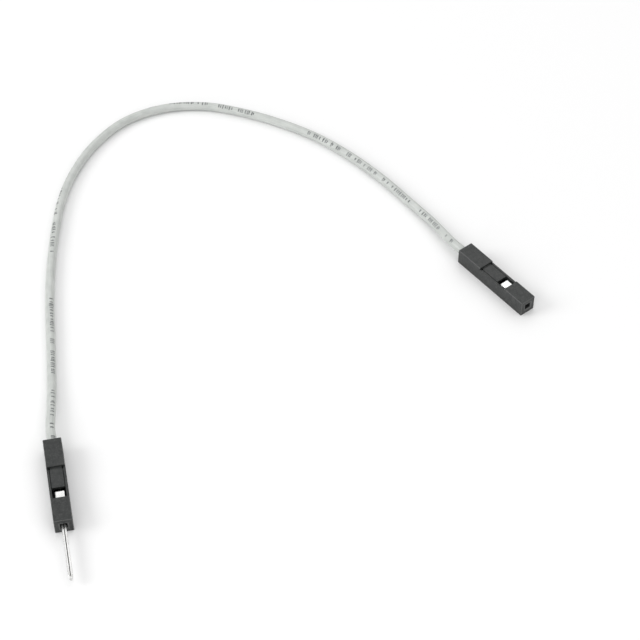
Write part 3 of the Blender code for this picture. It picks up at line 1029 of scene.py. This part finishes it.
def mark_mask(tree, distance, around):
    """Groups of plain upright bars of uneven height, like faded print on such a wire."""
    along = math_node(tree, "DIVIDE", distance, MARK_PITCH)
    cell = math_node(tree, "FLOOR", along)
    inside = math_node(tree, "FRACT", along)
    groups = math_node(tree, "DIVIDE", cell, MARK_GROUP)
    group = math_node(tree, "FLOOR", groups)
    chance, group_chance = (add_node(tree, "ShaderNodeTexWhiteNoise") for _ in range(2))
    for node, number in ((chance, cell), (group_chance, group)):
        node.noise_dimensions = "1D"
        tree.links.new(number, node.inputs["W"])
    random = tree.nodes.new("ShaderNodeSeparateColor")
    tree.links.new(chance.outputs["Color"], random.inputs["Color"])
    cosine, sine, radius = components(tree, around)
    angle = math_node(tree, "ARCTAN2", sine, cosine)
    across = math_node(tree, "ABSOLUTE", math_node(tree, "MULTIPLY", angle, radius))
    bars = [mark_bar(tree, inside, across, random.outputs, bar) for bar in MARK_BARS]
    shape = bars[0]
    for bar in bars[1:]:
        shape = math_node(tree, "MAXIMUM", shape, bar)
    in_group = math_node(tree, "FRACT", groups)
    for kept in (
        math_node(tree, "GREATER_THAN", chance.outputs["Value"], MARK_BLANKS),
        math_node(tree, "GREATER_THAN", group_chance.outputs["Value"], GROUP_BLANKS),
        math_node(tree, "LESS_THAN", in_group, MARK_GROUP_END),
        math_node(tree, "GREATER_THAN", radius, WIRE_RADIUS_M / MM - SKIN_DEPTH),
    ):
        shape = math_node(tree, "MULTIPLY", shape, kept)
    return shape


def grey_insulation():
    """Light grey satin plastic with a row of small dark marks."""
    material, tree, shader = new_material("grey_insulation_look")
    place = place_in_mm(tree)
    distance = attribute(tree, "along").outputs["Fac"]
    around = attribute(tree, "around").outputs["Vector"]
    clouds = noise(tree, place, GREY_CLOUDS)
    grain = noise(tree, place, GREY_GRAIN)
    cosine, sine, _ = components(tree, around)
    unrolled = tree.nodes.new("ShaderNodeCombineXYZ")
    tree.links.new(cosine, unrolled.inputs["X"])
    tree.links.new(sine, unrolled.inputs["Y"])
    tree.links.new(math_node(tree, "MULTIPLY", distance, STREAK_STRETCH), unrolled.inputs["Z"])
    streaks = noise(tree, unrolled.outputs["Vector"], GREY_STREAKS)
    mottle = spread_range(tree, math_node(tree, "ADD", clouds, streaks), *MOTTLE_RANGE)
    tone = colour_mix(tree, mottle, GREY_DARK, GREY_PALE)
    wear = noise(tree, place, INK_WEAR, INK_WEAR_DETAIL)
    fade = noise(tree, place, INK_FADE, INK_FADE_DETAIL)
    ink = mark_mask(tree, distance, around)
    ink = math_node(tree, "MULTIPLY", ink, spread_range(tree, wear, *INK_WEAR_RANGE, *INK_WORN))
    ink = math_node(tree, "MULTIPLY", ink, spread_range(tree, fade, *INK_FADE_RANGE, *INK_FADED))
    tone = colour_mix(tree, ink, tone, INK)
    tree.links.new(tone, shader.inputs["Base Color"])
    rough = spread_range(tree, streaks, *NOISE_RANGE, *GREY_ROUGHNESS)
    tree.links.new(rough, shader.inputs["Roughness"])
    bump(tree, shader, math_node(tree, "ADD", grain, streaks), *GREY_RELIEF)
    return material


def dress(item, material, slot, *nodes):
    """Gives a piece its look, hides the parts that it stands for, and lets it ride with the root body.
    The slot is not used.
    """
    item.data.materials.clear()
    item.data.materials.append(material)
    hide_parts(*nodes)
    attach(item, "root")


def studio_floor():
    mesh = bpy.data.meshes.new("studio_floor")
    work = bmesh.new()
    bmesh.ops.create_grid(work, x_segments=FLOOR_CELLS, y_segments=FLOOR_CELLS, size=FLOOR_HALF)
    work.to_mesh(mesh)
    work.free()
    material, tree, shader = new_material("floor_look")
    coordinates = tree.nodes.new("ShaderNodeTexCoord")
    clouds = noise(tree, coordinates.outputs["Object"], FLOOR_CLOUDS, FLOOR_CLOUDS_DETAIL)
    tone = colour_mix(tree, clouds, FLOOR_DARK, FLOOR_PALE)
    tree.links.new(tone, shader.inputs["Base Color"])
    shader.inputs["Roughness"].default_value = FLOOR_ROUGHNESS
    shader.inputs["Specular IOR Level"].default_value = FLOOR_GLOSS
    mesh.materials.append(material)
    make_object("studio_floor", mesh)


def studio_surround():
    """A white surround that glows from above, with a pale wall where the camera sees it."""
    world = bpy.data.worlds.new("studio_surround")
    world.use_nodes = True
    tree = world.node_tree
    direction = tree.nodes.new("ShaderNodeTexCoord")
    _, _, height = components(tree, direction.outputs["Generated"])
    glow = spread_range(tree, height, *GLOW_HEIGHT, *GLOW)
    ray = tree.nodes.new("ShaderNodeLightPath")
    wall = math_node(tree, "MULTIPLY", ray.outputs["Is Camera Ray"], WALL_GLOW)
    background = tree.nodes["Background"]
    tree.links.new(math_node(tree, "MAXIMUM", glow, wall), background.inputs["Strength"])
    background.inputs["Color"].default_value = (1.0, 1.0, 1.0, 1.0)
    bpy.context.scene.world = world


def studio_lights():
    """Large soft lights, the main one from the left."""
    for name, place, size, power in LIGHTS:
        light = bpy.data.lights.new(name, "AREA")
        light.shape = "DISK"
        light.size = size
        light.energy = power
        item = make_object(name, light)
        item.location = place
        aim = Vector(LIGHTS_AIM) - Vector(place)
        item.rotation_euler = aim.to_track_quat("-Z", "Y").to_euler()


def camera():
    lens = bpy.data.cameras.new("photo_camera")
    lens.lens = CAMERA_LENS
    lens.sensor_width = CAMERA_SENSOR
    lens.clip_start = CAMERA_NEAR
    item = make_object("photo_camera", lens)
    item.location = CAMERA_PLACE
    item.rotation_euler = (math.pi / 2 - CAMERA_PITCH, 0, 0)
    bpy.context.scene.camera = item


def core_wires():
    """The conductor's strands: one in the middle, and the others that turn around it."""
    copper = tinned_copper()
    wires = []
    for number in range(1, OUTER_STRANDS + 2):
        angle = 2 * math.pi * (number - 2) / OUTER_STRANDS
        reach = STRAND_PITCH_M if number > 1 else 0.0
        item = strand(f"core_wire_{number}", angle, reach)
        dress(item, copper, "tinned_copper", f"strand_{number}")
        wires.append(item)
    return wires


def main():
    camera()
    studio_floor()
    studio_surround()
    studio_lights()
    bpy.context.scene.view_settings.view_transform = "Standard"

    wire, path = insulation("insulation_tube")
    dress(wire, grey_insulation(), "grey_insulation", "wire_insulation")
    core_wires()

    pin_end = connector_place(ROUTE[0], ROUTE[1])
    socket_end = connector_place(ROUTE[-1], ROUTE[-2])
    plastic = black_plastic()
    tin = bright_tin()
    for name, place, node in (
        ("pin_end_housing", pin_end, "male_housing"),
        ("socket_end_housing", socket_end, "female_housing"),
    ):
        dress(placed(housing(name), place), plastic, "black_plastic", node)
    dress(placed(pin_contact("pin_contact"), pin_end), tin, "tinned_metal", "pin_terminal")
    dress(placed(socket_contact("socket_contact"), socket_end), tin, "tinned_metal", "socket_terminal")


main()
